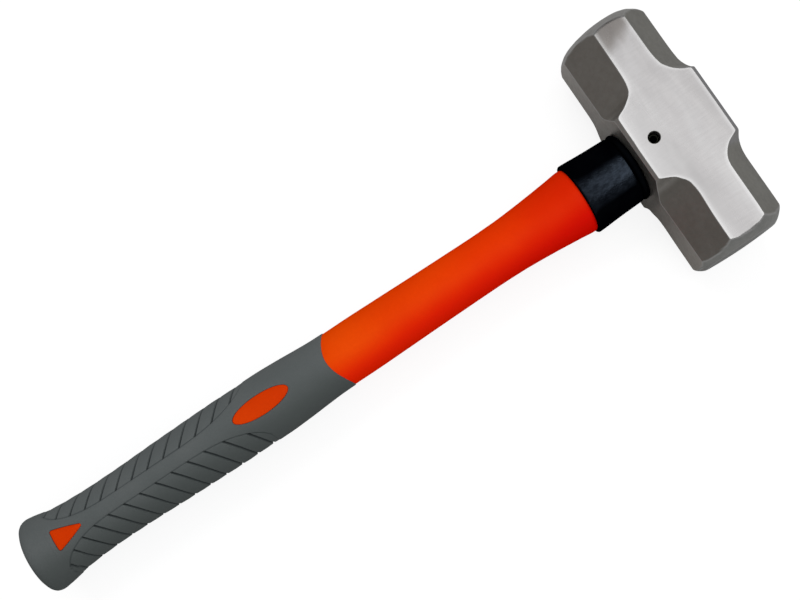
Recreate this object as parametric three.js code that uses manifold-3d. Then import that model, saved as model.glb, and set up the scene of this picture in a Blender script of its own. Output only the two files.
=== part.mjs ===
// Double-faced octagonal sledge hammer on a moulded fibreglass handle.
// Units are millimetres. +X runs up the handle to the top of the head, +Y runs along the head
// towards one striking face, and +Z is the normal of the cheek that faces up.
// The origin is the middle of the lower cheek, which the hammer lies on.

import * as THREE from 'three';
import { mergeVertices } from 'three/addons/utils/BufferGeometryUtils.js';
import Module from 'manifold-3d';

const wasm = await Module();
wasm.setup();

// ---- driving dimensions -------------------------------------------------------------------------

const gap = 0.3;                  // clearance between pieces that touch

// Head
const cheekHalf = 22.9;           // handle axis to each cheek
const headBottom = -21.6;         // flat that the handle comes out of
const headTop = 22.7;             // flat at the far end of the eye
const lowerFacet = 22.3;          // head axis to the 45 degree facets on the handle's side
const upperFacet = 22.8;          // head axis to the 45 degree facets on the top side
const faceReach = 63.1;           // head centre to the middle of a striking face
const faceRadius = 18.3;          // edge of the striking face
const faceFlatRadius = 9;         // flat middle of the slightly crowned face
const faceCrown = 0.5;            // how far the crown falls away at the face's edge
const coneSlope = 0.8;            // end chamfer: travel along the head for each unit of radius
const blockReach = 17.4;          // head centre to where the corner scoops start
const scoopRadius = 14;           // radius of the scoops that run out of the 45 degree facets
const blockCorner = 30.35;        // head axis to the small chamfer on the block's corners
const blankRadius = 34;           // wider than the head's corners
const cutterReach = 90;           // well past the head on every side

// Eye, and what fills it
const eyeHalfWidth = 14;          // at the waist of the eye, across the cheeks' plane
const eyeFlare = 1.2;             // extra half width at both mouths
const eyeOvality = 0.76;
const pinX = -11.2;
const pinY = 0.9;                 // the pin sits a little to one side of the eye's middle
const pinRadius = 2.7;
const pinRecess = 3;              // below each cheek
const capThickness = 4;

// Handle
const handleOvality = 0.84;       // thickness through the cheeks' direction over width
const coreHalfWidth = 10.5;
const coreOvality = 0.68;
const coreButt = -352;
const washerThickness = 3.2;
const washerHalfWidth = 17.9;
const collarButtEnd = -51.3;
const collarHalfWidth = 18.7;
const collarNeckHalfWidth = 17.6;
const collarShoulder = 0.9;
const shaftHalfWidth = 17.2;      // shaft where it meets the collar
const seatHalfWidth = 15.9;       // shaft under the collar
const gripTip = -195.5;           // grip edge in the middle of the handle's faces
const gripEdgeRise = 5.6;         // how much nearer the head that edge is at the handle's sides
const gripWall = 3.2;
const gripButt = -371.7;

// Windows in the grip, where raised pads of the shaft jacket show
const ovalX = -233;
const ovalHalfLength = 15.8;
const ovalHalfWidth = 5.5;
const triangleTip = -337.2;
const triangleBase = -352.4;
const triangleHalfWidth = 5.8;
const padSink = 0.4;              // pads lie this far under the grip's surface
const sides = 36;                 // facets round the handle pieces

// ---- helpers ------------------------------------------------------------------------------------

function toSolid(geometry) {
  const bare = geometry.clone();
  bare.deleteAttribute('normal');
  bare.deleteAttribute('uv');
  const merged = mergeVertices(bare, 1e-4);
  const index = merged.index.array;
  const triangles = [];
  for (let i = 0; i < index.length; i += 3) {
    const [a, b, c] = [index[i], index[i + 1], index[i + 2]];
    if (a !== b && b !== c && c !== a) triangles.push(a, b, c);
  }
  return new wasm.Manifold(new wasm.Mesh({
    numProp: 3,
    vertProperties: new Float32Array(merged.attributes.position.array),
    triVerts: new Uint32Array(triangles),
  }));
}

function toMesh(name, solid, material) {
  const { vertProperties, triVerts } = solid.getMesh();
  const geometry = new THREE.BufferGeometry();
  geometry.setAttribute('position', new THREE.BufferAttribute(vertProperties, 3));
  geometry.setIndex(new THREE.BufferAttribute(triVerts, 1));
  geometry.computeVertexNormals();
  const mesh = new THREE.Mesh(geometry, material);
  mesh.name = name;
  return mesh;
}

// A solid turned about the handle's axis from [x, half width] points, then squashed in Z.
function turnedAlongX(points, ovality) {
  const profile = points.map(([x, halfWidth]) => new THREE.Vector2(halfWidth, x));
  const geometry = new THREE.LatheGeometry(profile, sides);
  geometry.rotateZ(-Math.PI / 2);
  geometry.scale(1, 1, ovality);
  return toSolid(geometry);
}

// A prism along Z with its outline in the XY plane.
function prismAlongZ(shape, bottom, top) {
  const geometry = new THREE.ExtrudeGeometry(shape, {
    depth: top - bottom,
    bevelEnabled: false,
    curveSegments: 10,
  });
  geometry.translate(0, 0, bottom);
  return toSolid(geometry);
}

function smoothStations(stations, count) {
  const curve = new THREE.SplineCurve(stations.map(([x, r]) => new THREE.Vector2(x, r)));
  return curve.getPoints(count).map((point) => [point.x, point.y]);
}

function material(color, roughness, metalness) {
  return new THREE.MeshStandardMaterial({ color, roughness, metalness, flatShading: true });
}

// ---- outlines of the handle ---------------------------------------------------------------------

const washerHeadEnd = headBottom - gap;
const washerButtEnd = washerHeadEnd - washerThickness;
const collarHeadEnd = washerButtEnd - gap;
const capOuterX = headTop - 0.6;
const capInnerX = capOuterX - capThickness;

// [distance along the handle, half width] stations.
const shaftStations = [
  [collarButtEnd - gap, shaftHalfWidth], [-73, 15.1], [-95, 13.75], [-125, 13.85], [-165, 14.5],
  [-205, 14.8],
];
const gripStations = [
  [-186, 14.7], [-206, 15.6], [-230, 16.8], [-254, 17], [-280, 16.65], [-305, 16.1], [-326, 15.8],
  [-342, 16.3], [-355, 17.9], [-363.5, 19.3],
];
const buttHalfWidth = 19.3;
const buttCorner = [[-366.4, 18.9], [-368.6, 17.2], [-370.2, 13.8], [-371.2, 8.2]];

// The grip's outline, or one that lies inside it by the inset.
function gripOutline(inset) {
  const side = smoothStations(gripStations, 18).map(([x, r]) => [x, r - inset]);
  const corner = buttCorner.map(([x, r]) => [x + inset, r - inset * r / buttHalfWidth]);
  return [...side, ...corner, [gripButt + inset, 0]];
}

function ovalShape(grow) {
  const shape = new THREE.Shape();
  shape.absellipse(ovalX, 0, ovalHalfLength + grow, ovalHalfWidth + grow, 0, 2 * Math.PI, false, 0);
  return shape;
}

// A triangle with bowed corners, its tip towards the head.
function triangleShape(grow) {
  const tip = triangleTip + grow;
  const base = triangleBase - grow;
  const half = triangleHalfWidth + grow;
  const shape = new THREE.Shape();
  shape.moveTo(tip - 2, 1);
  shape.lineTo(base + 2.5, half);
  shape.quadraticCurveTo(base - 0.4, half + 0.4, base, half - 2);
  shape.lineTo(base, 2 - half);
  shape.quadraticCurveTo(base - 0.4, -half - 0.4, base + 2.5, -half);
  shape.lineTo(tip - 2, -1);
  shape.quadraticCurveTo(tip + 0.6, 0, tip - 2, 1);
  return shape;
}

// Everything on the butt side of the grip's curved front edge.
function gripSide(shift) {
  const sideY = 24;
  const sideX = gripTip + gripEdgeRise * (sideY / 15) ** 2 + shift;
  const shape = new THREE.Shape();
  shape.moveTo(-400, -sideY);
  shape.lineTo(sideX, -sideY);
  shape.quadraticCurveTo(2 * (gripTip + shift) - sideX, 0, sideX, sideY);
  shape.lineTo(-400, sideY);
  shape.closePath();
  return prismAlongZ(shape, -30, 30);
}

// ---- pieces -------------------------------------------------------------------------------------

// Stands a solid on one flank of the head: its outline's X runs along the head, and its Y
// points away from the head's axis at the angle given, measured from +X towards +Z.
function onFlank(shape, angle) {
  const width = 90;
  const geometry = new THREE.ExtrudeGeometry(shape, {
    depth: width,
    bevelEnabled: false,
    curveSegments: 10,
  });
  geometry.translate(0, 0, -width / 2);
  const along = new THREE.Vector3(0, 1, 0);
  const outward = new THREE.Vector3(Math.cos(angle), 0, Math.sin(angle));
  const across = new THREE.Vector3().crossVectors(along, outward);
  geometry.applyMatrix4(new THREE.Matrix4().makeBasis(along, outward, across));
  return toSolid(geometry);
}

// What is ground off one corner of the head: a 45 degree facet at each end, a scoop that runs
// out of it, and a small chamfer on the middle block.
function cornerOutline(facet) {
  const depth = blockCorner - facet;
  const runOut = Math.sqrt(scoopRadius ** 2 - (scoopRadius - depth) ** 2);
  const scoopEnd = blockReach + runOut;
  const scoopCentre = facet + scoopRadius;
  const sweep = Math.asin(runOut / scoopRadius);
  const shape = new THREE.Shape();
  shape.moveTo(cutterReach, cutterReach);
  shape.lineTo(-cutterReach, cutterReach);
  shape.lineTo(-cutterReach, facet);
  shape.lineTo(-scoopEnd, facet);
  shape.absarc(-scoopEnd, scoopCentre, scoopRadius, -Math.PI / 2, sweep - Math.PI / 2, false);
  shape.lineTo(blockReach, blockCorner);
  shape.absarc(scoopEnd, scoopCentre, scoopRadius, -Math.PI / 2 - sweep, -Math.PI / 2, false);
  shape.lineTo(cutterReach, facet);
  shape.closePath();
  return shape;
}

// A turned blank with crowned striking faces and conical ends.
function turnedBlank() {
  const coneStart = faceReach - faceCrown;
  const half = [
    [0, faceReach],
    [faceFlatRadius, faceReach],
    [(faceFlatRadius + faceRadius) / 2, faceReach - faceCrown * 0.35],
    [faceRadius, coneStart],
    [blankRadius, coneStart - (blankRadius - faceRadius) * coneSlope],
  ];
  const lower = half.map(([radius, y]) => new THREE.Vector2(radius, -y));
  const upper = half.map(([radius, y]) => new THREE.Vector2(radius, y)).reverse();
  return toSolid(new THREE.LatheGeometry([...lower, ...upper], 64));
}

function eyeSolid(inset) {
  const mouth = cheekHalf + 1;
  const bottom = eyeHalfWidth + eyeFlare - inset;
  const waist = eyeHalfWidth - inset;
  return turnedAlongX([
    [-mouth, 0], [-mouth, bottom], [-mouth / 2, waist], [mouth / 2, waist], [mouth, bottom], [mouth, 0],
  ], eyeOvality);
}

function pinHole(radius, halfLength) {
  const shape = new THREE.Shape();
  shape.absarc(pinX, pinY, radius, 0, 2 * Math.PI, false);
  return prismAlongZ(shape, -halfLength, halfLength);
}

function slab(fromX, toX) {
  const shape = new THREE.Shape();
  shape.moveTo(fromX, -40);
  shape.lineTo(toX, -40);
  shape.lineTo(toX, 40);
  shape.lineTo(fromX, 40);
  shape.closePath();
  return prismAlongZ(shape, -40, 40);
}

function coreSolid(grow, fromX, toX) {
  const half = coreHalfWidth + grow;
  return turnedAlongX([[fromX, 0], [fromX, half], [toX, half], [toX, 0]], coreOvality);
}

function hammerHead() {
  const bar = new THREE.BoxGeometry(headTop - headBottom, 2 * faceReach + 2, 2 * cheekHalf);
  bar.translate((headTop + headBottom) / 2, 0, 0);
  let solid = toSolid(bar).intersect(turnedBlank());
  for (const [facet, angles] of [[upperFacet, [45, 315]], [lowerFacet, [135, 225]]]) {
    for (const angle of angles) {
      solid = solid.subtract(onFlank(cornerOutline(facet), THREE.MathUtils.degToRad(angle)));
    }
  }
  solid = solid.subtract(eyeSolid(0));
  return solid.subtract(pinHole(pinRadius + gap, 40));
}

function eyeResin() {
  const filled = eyeSolid(gap).intersect(slab(headBottom, capInnerX - gap));
  const cored = filled.subtract(coreSolid(gap, -60, 60));
  return cored.subtract(pinHole(pinRadius + gap, 40));
}

function eyeCap() {
  return eyeSolid(gap).intersect(slab(capInnerX, capOuterX));
}

function fibreglassCore() {
  return coreSolid(0, coreButt, capInnerX - gap).subtract(pinHole(pinRadius + gap, 40));
}

function sealWasher() {
  const edge = 1;
  const outer = turnedAlongX([
    [washerButtEnd, 0],
    [washerButtEnd, washerHalfWidth - 2 * edge],
    [washerButtEnd + edge, washerHalfWidth],
    [washerHeadEnd - edge, washerHalfWidth],
    [washerHeadEnd, washerHalfWidth - edge],
    [washerHeadEnd, 0],
  ], handleOvality);
  return outer.subtract(coreSolid(gap, -60, 60));
}

function overstrikeCollar() {
  const bore = seatHalfWidth + gap;
  const outline = [
    [collarButtEnd, bore],
    [collarButtEnd, collarHalfWidth - 0.5],
    [collarButtEnd + 0.5, collarHalfWidth],
    [collarHeadEnd - collarShoulder, collarNeckHalfWidth],
    [collarHeadEnd, collarNeckHalfWidth - collarShoulder / 3],
    [collarHeadEnd, bore],
    [collarButtEnd, bore],
  ];
  return turnedAlongX(outline, handleOvality);
}

function handleJacket() {
  const shaft = smoothStations(shaftStations, 12);
  const last = shaft[shaft.length - 1][0];
  const visible = turnedAlongX([
    [last, 0],
    ...shaft.reverse(),
    [collarButtEnd - gap, seatHalfWidth],
    [collarHeadEnd, seatHalfWidth],
    [collarHeadEnd, 0],
  ], handleOvality).subtract(gripSide(0));
  const hidden = turnedAlongX([...gripOutline(gripWall).reverse(), [-190, 0]], handleOvality);
  let solid = visible.add(hidden);
  const padSkin = turnedAlongX([...gripOutline(padSink).reverse(), [-190, 0]], handleOvality);
  for (const shape of [ovalShape(0), triangleShape(0)]) {
    for (const [bottom, top] of [[-30, -9], [9, 30]]) {
      solid = solid.add(prismAlongZ(shape, bottom, top).intersect(padSkin));
    }
  }
  return solid.subtract(coreSolid(gap, coreButt - gap, 0));
}

function gripSleeve() {
  let solid = turnedAlongX([...gripOutline(0).reverse(), [-190, 0]], handleOvality);
  solid = solid.intersect(gripSide(-gap));
  solid = solid.subtract(turnedAlongX([...gripOutline(gripWall - gap).reverse(), [-190, 0]], handleOvality));
  for (const shape of [ovalShape(gap), triangleShape(gap)]) {
    solid = solid.subtract(prismAlongZ(shape, -30, 30));
  }
  return solid;
}

// ---- assembly -----------------------------------------------------------------------------------

const hammer = new THREE.Group();
hammer.position.z = cheekHalf;
hammer.add(
  toMesh('hammer_head', hammerHead(), material(0xa8a8a6, 0.3, 1)),
  toMesh('eye_resin', eyeResin(), material(0x2a2622, 0.5, 0)),
  toMesh('eye_cap', eyeCap(), material(0x101113, 0.5, 0)),
  toMesh('cross_pin', pinHole(pinRadius, cheekHalf - pinRecess), material(0x2c2d2e, 0.4, 1)),
  toMesh('fibreglass_core', fibreglassCore(), material(0xd8d2b4, 0.5, 0)),
  toMesh('handle_jacket', handleJacket(), material(0xe8400c, 0.45, 0)),
  toMesh('overstrike_collar', overstrikeCollar(), material(0x0c0d10, 0.4, 0)),
  toMesh('seal_washer', sealWasher(), material(0x0c0d10, 0.5, 0)),
  toMesh('grip_sleeve', gripSleeve(), material(0x62625f, 0.65, 0)),
);

export default hammer;
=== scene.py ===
import math

import bmesh
import bpy
import numpy as np
from mathutils import Matrix, Vector


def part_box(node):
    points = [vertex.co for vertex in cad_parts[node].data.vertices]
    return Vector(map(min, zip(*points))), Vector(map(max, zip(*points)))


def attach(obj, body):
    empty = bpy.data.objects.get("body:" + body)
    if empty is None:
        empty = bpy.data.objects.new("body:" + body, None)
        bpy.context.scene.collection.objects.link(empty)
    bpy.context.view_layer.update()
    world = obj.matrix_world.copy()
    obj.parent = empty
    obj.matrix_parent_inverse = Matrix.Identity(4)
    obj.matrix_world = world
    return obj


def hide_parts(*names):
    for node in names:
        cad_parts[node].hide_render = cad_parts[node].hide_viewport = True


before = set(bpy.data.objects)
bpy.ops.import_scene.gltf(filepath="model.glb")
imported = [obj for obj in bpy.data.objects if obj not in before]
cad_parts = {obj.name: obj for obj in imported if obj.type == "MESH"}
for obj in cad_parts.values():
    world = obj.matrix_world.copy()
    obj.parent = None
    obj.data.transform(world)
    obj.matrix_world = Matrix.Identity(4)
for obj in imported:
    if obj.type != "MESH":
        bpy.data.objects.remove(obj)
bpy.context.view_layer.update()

# Shapes are in millimetres in the part's frame: X runs along the handle to the head's top, Y along the
# head and Z up from the floor. put() turns them into metres. Materials and the stage are in metres.
MM = 0.001
HEAD_LO, HEAD_HI = [np.array(c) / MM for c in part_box("hammer_head")]
AXIS_Z = (HEAD_LO[2] + HEAD_HI[2]) / 2   # height of the head's and the handle's axes
CHEEK = (HEAD_HI[2] - HEAD_LO[2]) / 2    # from that height to the flat cheeks
FACE_Y = HEAD_HI[1]
BOTTOM_X = HEAD_LO[0]
TOP_X = HEAD_HI[0]
_, GRIP_HI = [np.array(c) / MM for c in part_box("grip_sleeve")]
COLLAR_LO, COLLAR_HI = [np.array(c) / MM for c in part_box("overstrike_collar")]
WASHER_LO, WASHER_HI = [np.array(c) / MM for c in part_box("seal_washer")]
CAP_LO, CAP_HI = [np.array(c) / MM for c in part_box("eye_cap")]
PIN_LO, PIN_HI = [np.array(c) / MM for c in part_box("cross_pin")]
OVALITY = 0.84                           # the handle's thickness over its width


# ---- mesh helpers ---------------------------------------------------------------------------------

def smoothstep(lo, hi, value):
    t = np.clip((value - lo) / (hi - lo), 0, 1)
    return t * t * (3 - 2 * t)


def put(name, points, faces, material, sharp=35, slot=None, stands_for=()):
    """A mesh object from millimetre points, with sharp edges over an angle. A cutter has no material."""
    mesh = bpy.data.meshes.new(name)
    mesh.from_pydata([tuple(p) for p in np.asarray(points) * MM], [], faces)
    mesh.validate()
    obj = bpy.data.objects.new(name, mesh)
    bpy.context.scene.collection.objects.link(obj)
    finish_mesh(mesh, sharp)
    if material is not None:
        mesh.materials.append(material)
        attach(obj, "root")
        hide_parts(*stands_for)
    return obj


def finish_mesh(mesh, sharp):
    bm = bmesh.new()
    bm.from_mesh(mesh)
    bmesh.ops.recalc_face_normals(bm, faces=bm.faces)
    bm.to_mesh(mesh)
    bm.free()
    mesh.shade_smooth()
    mesh.set_sharp_from_angle(angle=math.radians(sharp))


def tag(obj, name, values):
    """Stores one number for each point, for a material to read."""
    layer = obj.data.attributes.new(name, "FLOAT", "POINT")
    layer.data.foreach_set("value", np.asarray(values, np.float32))


def loft(rings, loop=False):
    """Points and quads through rings of equal length. Ends close with a fan, or the rings loop."""
    rings = [np.asarray(r, float) for r in rings]
    count = len(rings[0])
    points = np.concatenate(rings)
    faces = []
    last = len(rings) if loop else len(rings) - 1
    for i in range(last):
        a, b = i * count, ((i + 1) % len(rings)) * count
        for j in range(count):
            k = (j + 1) % count
            faces.append((a + j, a + k, b + k, b + j))
    if not loop:
        for ring, start in ((rings[0], 0), (rings[-1], (len(rings) - 1) * count)):
            points = np.vstack([points, ring.mean(0)])
            hub = len(points) - 1
            for j in range(count):
                faces.append((start + j, start + (j + 1) % count, hub))
    return points, faces


def oval_ring(x, half_width, count, ovality=OVALITY):
    """Points round the handle's axis at x."""
    angle = np.arange(count) * 2 * math.pi / count
    y = half_width * np.sin(angle)
    z = half_width * ovality * np.cos(angle) + AXIS_Z
    return np.stack([np.full(count, float(x)), y, z], 1)


def turned(profile, count, ovality):
    return loft([oval_ring(x, r, count, ovality) for x, r in profile])


def cut(obj, cutter, sharp):
    """Takes the cutter's shape out of the object for good."""
    mod = obj.modifiers.new("cut", "BOOLEAN")
    mod.operation = "DIFFERENCE"
    mod.solver = "EXACT"
    mod.object = cutter
    graph = bpy.context.evaluated_depsgraph_get()
    mesh = bpy.data.meshes.new_from_object(obj.evaluated_get(graph))
    obj.modifiers.remove(mod)
    old = obj.data
    name = old.name
    obj.data = mesh
    bpy.data.meshes.remove(old)
    mesh.name = name
    spare = cutter.data
    bpy.data.objects.remove(cutter)
    bpy.data.meshes.remove(spare)
    finish_mesh(mesh, sharp)


def evenly(start, end, steps):
    """Evenly spaced numbers from start to end, both included."""
    return [start + (end - start) * i / steps for i in range(steps + 1)]


def spline(table):
    """A smooth curve through a table, by a cubic that never overshoots."""
    xs = np.array([x for x, _ in table], float)
    ys = np.array([y for _, y in table], float)
    chords = np.diff(ys) / np.diff(xs)
    product = chords[1:] * chords[:-1]
    total = np.where(product > 0, chords[1:] + chords[:-1], 1.0)
    inner = np.where(product > 0, 2 * product / total, 0.0)
    slopes = np.concatenate([chords[:1], inner, chords[-1:]])

    def value(x):
        x = np.clip(x, xs[0], xs[-1])
        i = np.clip(np.searchsorted(xs, x) - 1, 0, len(xs) - 2)
        h = xs[i + 1] - xs[i]
        t = (x - xs[i]) / h
        return ((2 * t ** 3 - 3 * t ** 2 + 1) * ys[i] + (t ** 3 - 2 * t ** 2 + t) * h * slopes[i]
                + (3 * t ** 2 - 2 * t ** 3) * ys[i + 1] + (t ** 3 - t ** 2) * h * slopes[i + 1])
    return value


# ---- material helpers -----------------------------------------------------------------------------

def linear(hex_colour):
    """A linear colour from an sRGB hex string."""
    out = []
    for i in (0, 2, 4):
        c = int(hex_colour[i:i + 2], 16) / 255
        out.append(c / 12.92 if c <= 0.04045 else ((c + 0.055) / 1.055) ** 2.4)
    return (*out, 1.0)


class Paint:
    """A small builder of node materials."""

    def __init__(self, name):
        self.mat = bpy.data.materials.new(name)
        self.mat.use_nodes = True
        self.tree = self.mat.node_tree
        self.bsdf = self.tree.nodes["Principled BSDF"]
        self.coord = self.tree.nodes.new("ShaderNodeTexCoord").outputs["Object"]

    def link(self, out, socket):
        self.tree.links.new(out, socket)

    def set(self, **values):
        for key, value in values.items():
            self.bsdf.inputs[key.replace("_", " ")].default_value = value

    def mapped(self, scale, turn=(0, 0, 0)):
        node = self.tree.nodes.new("ShaderNodeMapping")
        node.inputs["Scale"].default_value = scale
        node.inputs["Rotation"].default_value = turn
        self.link(self.coord, node.inputs["Vector"])
        return node.outputs["Vector"]

    def noise(self, scale, detail=4.0, rough=0.55, vector=None, distortion=0.0):
        node = self.tree.nodes.new("ShaderNodeTexNoise")
        node.inputs["Scale"].default_value = scale
        node.inputs["Detail"].default_value = detail
        node.inputs["Roughness"].default_value = rough
        node.inputs["Distortion"].default_value = distortion
        self.link(self.coord if vector is None else vector, node.inputs["Vector"])
        return node.outputs["Fac"]

    def ramp(self, value, *stops):
        """A colour ramp through stops, each a place and an sRGB hex string."""
        node = self.tree.nodes.new("ShaderNodeValToRGB")
        items = node.color_ramp.elements
        while len(items) < len(stops):
            items.new(0.5)
        for item, (place, colour) in zip(items, stops):
            item.position = place
            item.color = linear(colour)
        self.link(value, node.inputs["Fac"])
        return node.outputs["Color"]

    def range(self, value, lo, hi, to_lo=0.0, to_hi=1.0, smooth=False):
        node = self.tree.nodes.new("ShaderNodeMapRange")
        node.interpolation_type = "SMOOTHSTEP" if smooth else "LINEAR"
        for key, number in (("From Min", lo), ("From Max", hi), ("To Min", to_lo), ("To Max", to_hi)):
            node.inputs[key].default_value = number
        self.link(value, node.inputs["Value"])
        return node.outputs["Result"]

    def maths(self, kind, a, b=None):
        node = self.tree.nodes.new("ShaderNodeMath")
        node.operation = kind
        for socket, value in zip(node.inputs, (a, b)):
            if isinstance(value, (int, float)):
                socket.default_value = value
            elif value is not None:
                self.link(value, socket)
        return node.outputs["Value"]

    def mix(self, factor, a, b):
        """A blend from a to b, each an sRGB hex string or a node's output."""
        node = self.tree.nodes.new("ShaderNodeMix")
        node.data_type = "RGBA"
        self.link(factor, node.inputs["Factor"])
        for socket, value in ((node.inputs["A"], a), (node.inputs["B"], b)):
            if isinstance(value, str):
                socket.default_value = linear(value)
            else:
                self.link(value, socket)
        return node.outputs["Result"]

    def attribute(self, name):
        node = self.tree.nodes.new("ShaderNodeAttribute")
        node.attribute_name = name
        return node.outputs["Fac"]

    def bump(self, height, strength, distance):
        node = self.tree.nodes.new("ShaderNodeBump")
        node.inputs["Strength"].default_value = strength
        node.inputs["Distance"].default_value = distance
        self.link(height, node.inputs["Height"])
        self.link(node.outputs["Normal"], self.bsdf.inputs["Normal"])

    def axes(self):
        node = self.tree.nodes.new("ShaderNodeSeparateXYZ")
        self.link(self.coord, node.inputs["Vector"])
        return node.outputs["X"], node.outputs["Y"], node.outputs["Z"]

    def colour(self, value):
        self.link(value, self.bsdf.inputs["Base Color"])

    def roughness(self, value):
        self.link(value, self.bsdf.inputs["Roughness"])

    def sheen(self, level, gone_at=0.42, patches=None):
        """A gloss that is strongest face on and dies away towards grazing views."""
        node = self.tree.nodes.new("ShaderNodeLayerWeight")
        node.inputs["Blend"].default_value = 0.5
        fall = self.range(node.outputs["Facing"], 0.08, gone_at, level, 0.0, smooth=True)
        if patches is not None:
            fall = self.maths("MULTIPLY", fall, patches)
        self.link(fall, self.bsdf.inputs["Specular IOR Level"])


# ---- materials ------------------------------------------------------------------------------------

DARK_REFLECTION_ZONE = (0.0515, 0.0590)   # how far along the head a painted dark reflection fades in on the cheeks
BLOCK_ENDS = (0.0195, 0.0225)   # where the brighter block round the eye gives way to the facets
CONE_STARTS = (0.050, 0.053)    # where the ground cones of the ends start
HEAD_TO_GRIP = (-0.19, -0.05)   # the stretch of handle over which the orange changes
GRIP_TIP = (-0.215, -0.200)     # beyond this the orange only shows in the grip's windows, where it takes a darker tone of painted shade
COOL_GLOSS = (0.58, 0.75, 1.0, 1)


def cheek_tone(p, x, y, clouds, grind):
    """Satin grey, with a painted brighter reflection towards the handle, painted highlights at the rims and a
    painted dark reflection at one end.
    """
    sweeps = p.noise(70, 3, 0.5, p.mapped((1.0, 0.2, 1.0), (0, 0, 0.95)), 1.2)
    tone = p.ramp(clouds, (0.32, "9d9b9b"), (0.5, "a7a5a5"), (0.68, "b1b0b0"))
    tone = p.mix(p.range(sweeps, 0.42, 0.68, 0.0, 0.30), tone, "c2c0bf")
    tone = p.mix(p.range(grind, 0.3, 0.7, 0.0, 0.14), tone, "898786")
    # Painted reflection: the cheeks are paler towards the handle.
    tone = p.mix(p.range(x, -0.024, 0.006, 0.32, 0.0, smooth=True), tone, "d6d6d6")
    drift = p.noise(75, 4, 0.6, p.mapped((1.0, 0.4, 1.0), (0, 0, 0.5)))
    reach = p.maths("ADD", y, p.maths("MULTIPLY", x, -0.40))
    reach = p.maths("ADD", reach, p.maths("MULTIPLY", drift, 0.013))
    # Painted dark reflection: the cheeks darken towards the +Y end.
    dark_reflection = p.range(reach, *DARK_REFLECTION_ZONE, 0.0, 0.80, smooth=True)
    tone = p.mix(dark_reflection, tone, p.ramp(drift, (0.35, "5e5955"), (0.65, "7b7672")))
    # Painted highlight along the cheeks' rims.
    return p.mix(p.range(p.attribute("rim"), 0.0, 1.0, 0.0, 0.4), tone, "d8d8d8")


def facet_tone(p, y, normal_x, normal_y, fine):
    """Browner greys for the 45 degree facets, the block, the top and underside, and the ends, with painted
    light: paler where they face the top, paler towards +Y and at the +Y end.
    """
    away = p.maths("ABSOLUTE", y)
    smoke = p.noise(55, 4, 0.55, p.mapped((1.0, 0.5, 1.0)))
    near = p.ramp(smoke, (0.30, "878179"), (0.55, "908b84"), (0.75, "9a968f"))
    # Painted light: the facets get paler towards +Y.
    near = p.mix(p.range(y, -0.02, 0.03, 0.0, 0.35), near, "a59f98")
    # Painted lighter reflection: the facets that face the head's top get a paler copy of the facet colour.
    far = p.ramp(smoke, (0.30, "a5a39d"), (0.60, "b0aea7"), (0.80, "bab8b1"))
    facing_top = p.range(normal_x, 0.1, 0.6, smooth=True)
    tone = p.mix(facing_top, near, far)
    block = p.range(away, *BLOCK_ENDS, 1.0, 0.0, smooth=True)
    # Painted lighter reflection on the block where it faces the top.
    tone = p.mix(block, tone, p.mix(facing_top, "aaa6a0", "bbbabb"))
    flat = p.range(p.maths("ABSOLUTE", normal_x), 0.80, 0.97, smooth=True)
    # Painted light: the top and underside flats get paler towards +Y.
    base = p.mix(p.range(y, -0.03, 0.04), "c3beb6", "d8d5cf")
    tone = p.mix(flat, tone, p.mix(p.range(smoke, 0.3, 0.7, 0.0, 0.2), base, "8c8781"))
    towards_end = p.range(p.maths("ABSOLUTE", normal_y), 0.30, 0.45)
    cone = p.maths("MULTIPLY", p.range(away, *CONE_STARTS), towards_end)
    # Painted light: the ground cone at the +Y end is paler than the one at the -Y end.
    ends = p.mix(p.range(y, -0.01, 0.01), "b6b6b2", "d6d4d0")
    tone = p.mix(cone, tone, p.mix(p.range(smoke, 0.35, 0.7, 0.0, 0.3), ends, "7b7d7b"))
    return p.mix(p.range(fine, 0.35, 0.75, 0.0, 0.16), tone, "605d58")


def steel():
    """Satin ground cheeks with duller steel all round them, and painted highlight lines along the edges, the
    creases and round the faces.
    """
    p = Paint("steel_ground")
    x, y, _ = p.axes()
    split = p.tree.nodes.new("ShaderNodeSeparateXYZ")
    p.link(p.tree.nodes.new("ShaderNodeNewGeometry").outputs["Normal"], split.inputs["Vector"])
    cheek = p.range(p.maths("ABSOLUTE", split.outputs["Z"]), 0.86, 0.985, smooth=True)
    clouds = p.noise(26, 3, 0.5, p.mapped((1.0, 0.42, 1.0), (0, 0, 0.6)), 0.5)
    grind = p.noise(900, 2, 0.6, p.mapped((0.12, 1.0, 1.0), (0, 0, 0.1)))
    fine = p.noise(420, 5, 0.6)
    facet = facet_tone(p, y, split.outputs["X"], split.outputs["Y"], fine)
    tone = p.mix(cheek, facet, cheek_tone(p, x, y, clouds, grind))
    # Painted highlight lines along the long edges, the creases into the ground ends and round each face.
    p.colour(p.mix(p.range(p.attribute("edge"), 0.2, 1.0, 0.0, 0.55), tone, "dddcda"))
    facet_rough = p.range(fine, 0.3, 0.7, 0.38, 0.48)
    p.roughness(p.mix(cheek, facet_rough, p.range(clouds, 0.3, 0.7, 0.30, 0.22)))
    p.set(Metallic=1.0)
    height = p.maths("ADD", p.maths("MULTIPLY", grind, 0.35), p.maths("MULTIPLY", fine, 0.65))
    height = p.maths("MULTIPLY", height, p.range(cheek, 0.0, 1.0, 1.0, 0.4))
    p.bump(height, 0.07, 0.0002)
    return p.mat


def dark_pin():
    """Blackened steel."""
    p = Paint("steel_blackened")
    p.colour(p.ramp(p.noise(300, 4), (0.3, "15160f"), (0.7, "2c2c22")))
    p.roughness(p.range(p.noise(500, 3), 0.3, 0.7, 0.35, 0.55))
    p.set(Metallic=0.9)
    p.bump(p.noise(900, 3), 0.2, 0.0001)
    return p.mat


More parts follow.
